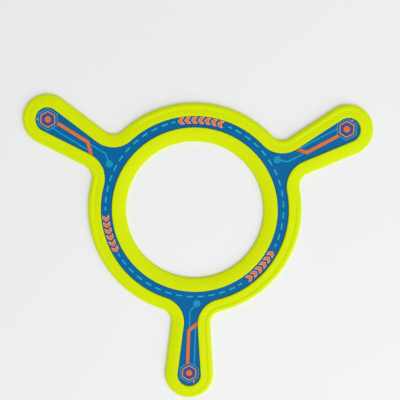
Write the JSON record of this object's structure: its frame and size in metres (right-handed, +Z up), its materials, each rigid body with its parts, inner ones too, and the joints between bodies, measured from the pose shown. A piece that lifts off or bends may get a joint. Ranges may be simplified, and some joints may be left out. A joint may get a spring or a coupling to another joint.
{
  "type": "boomerang",
  "caption": "Flat flying ring of the boomerang kind with arms radiating from it, a stiff core and soft rims; thrown flat to spin, glide and be caught.",
  "frame": {"origin": "centre of the ring's round opening, on the plane of the flat underside that the part rests on", "axes": "+Z up out of the printed top, along the spin axis; the arms point 30, 150 and 270 degrees from +X towards +Y, so +X is the longest extent and one arm points along -Y"},
  "size_m": [0.2752, 0.2436, 0.0042],
  "materials": {
    "core_plastic": "satin moulded blue",
    "soft_rim": "satin lime soft plastic",
    "label_print": "satin printed film"
  },
  "bodies": {
    "root": {"core_frame": "core_plastic", "outer_rim": "soft_rim", "inner_rim": "soft_rim", "printed_label": "label_print"}
  },
  "joints": []
}
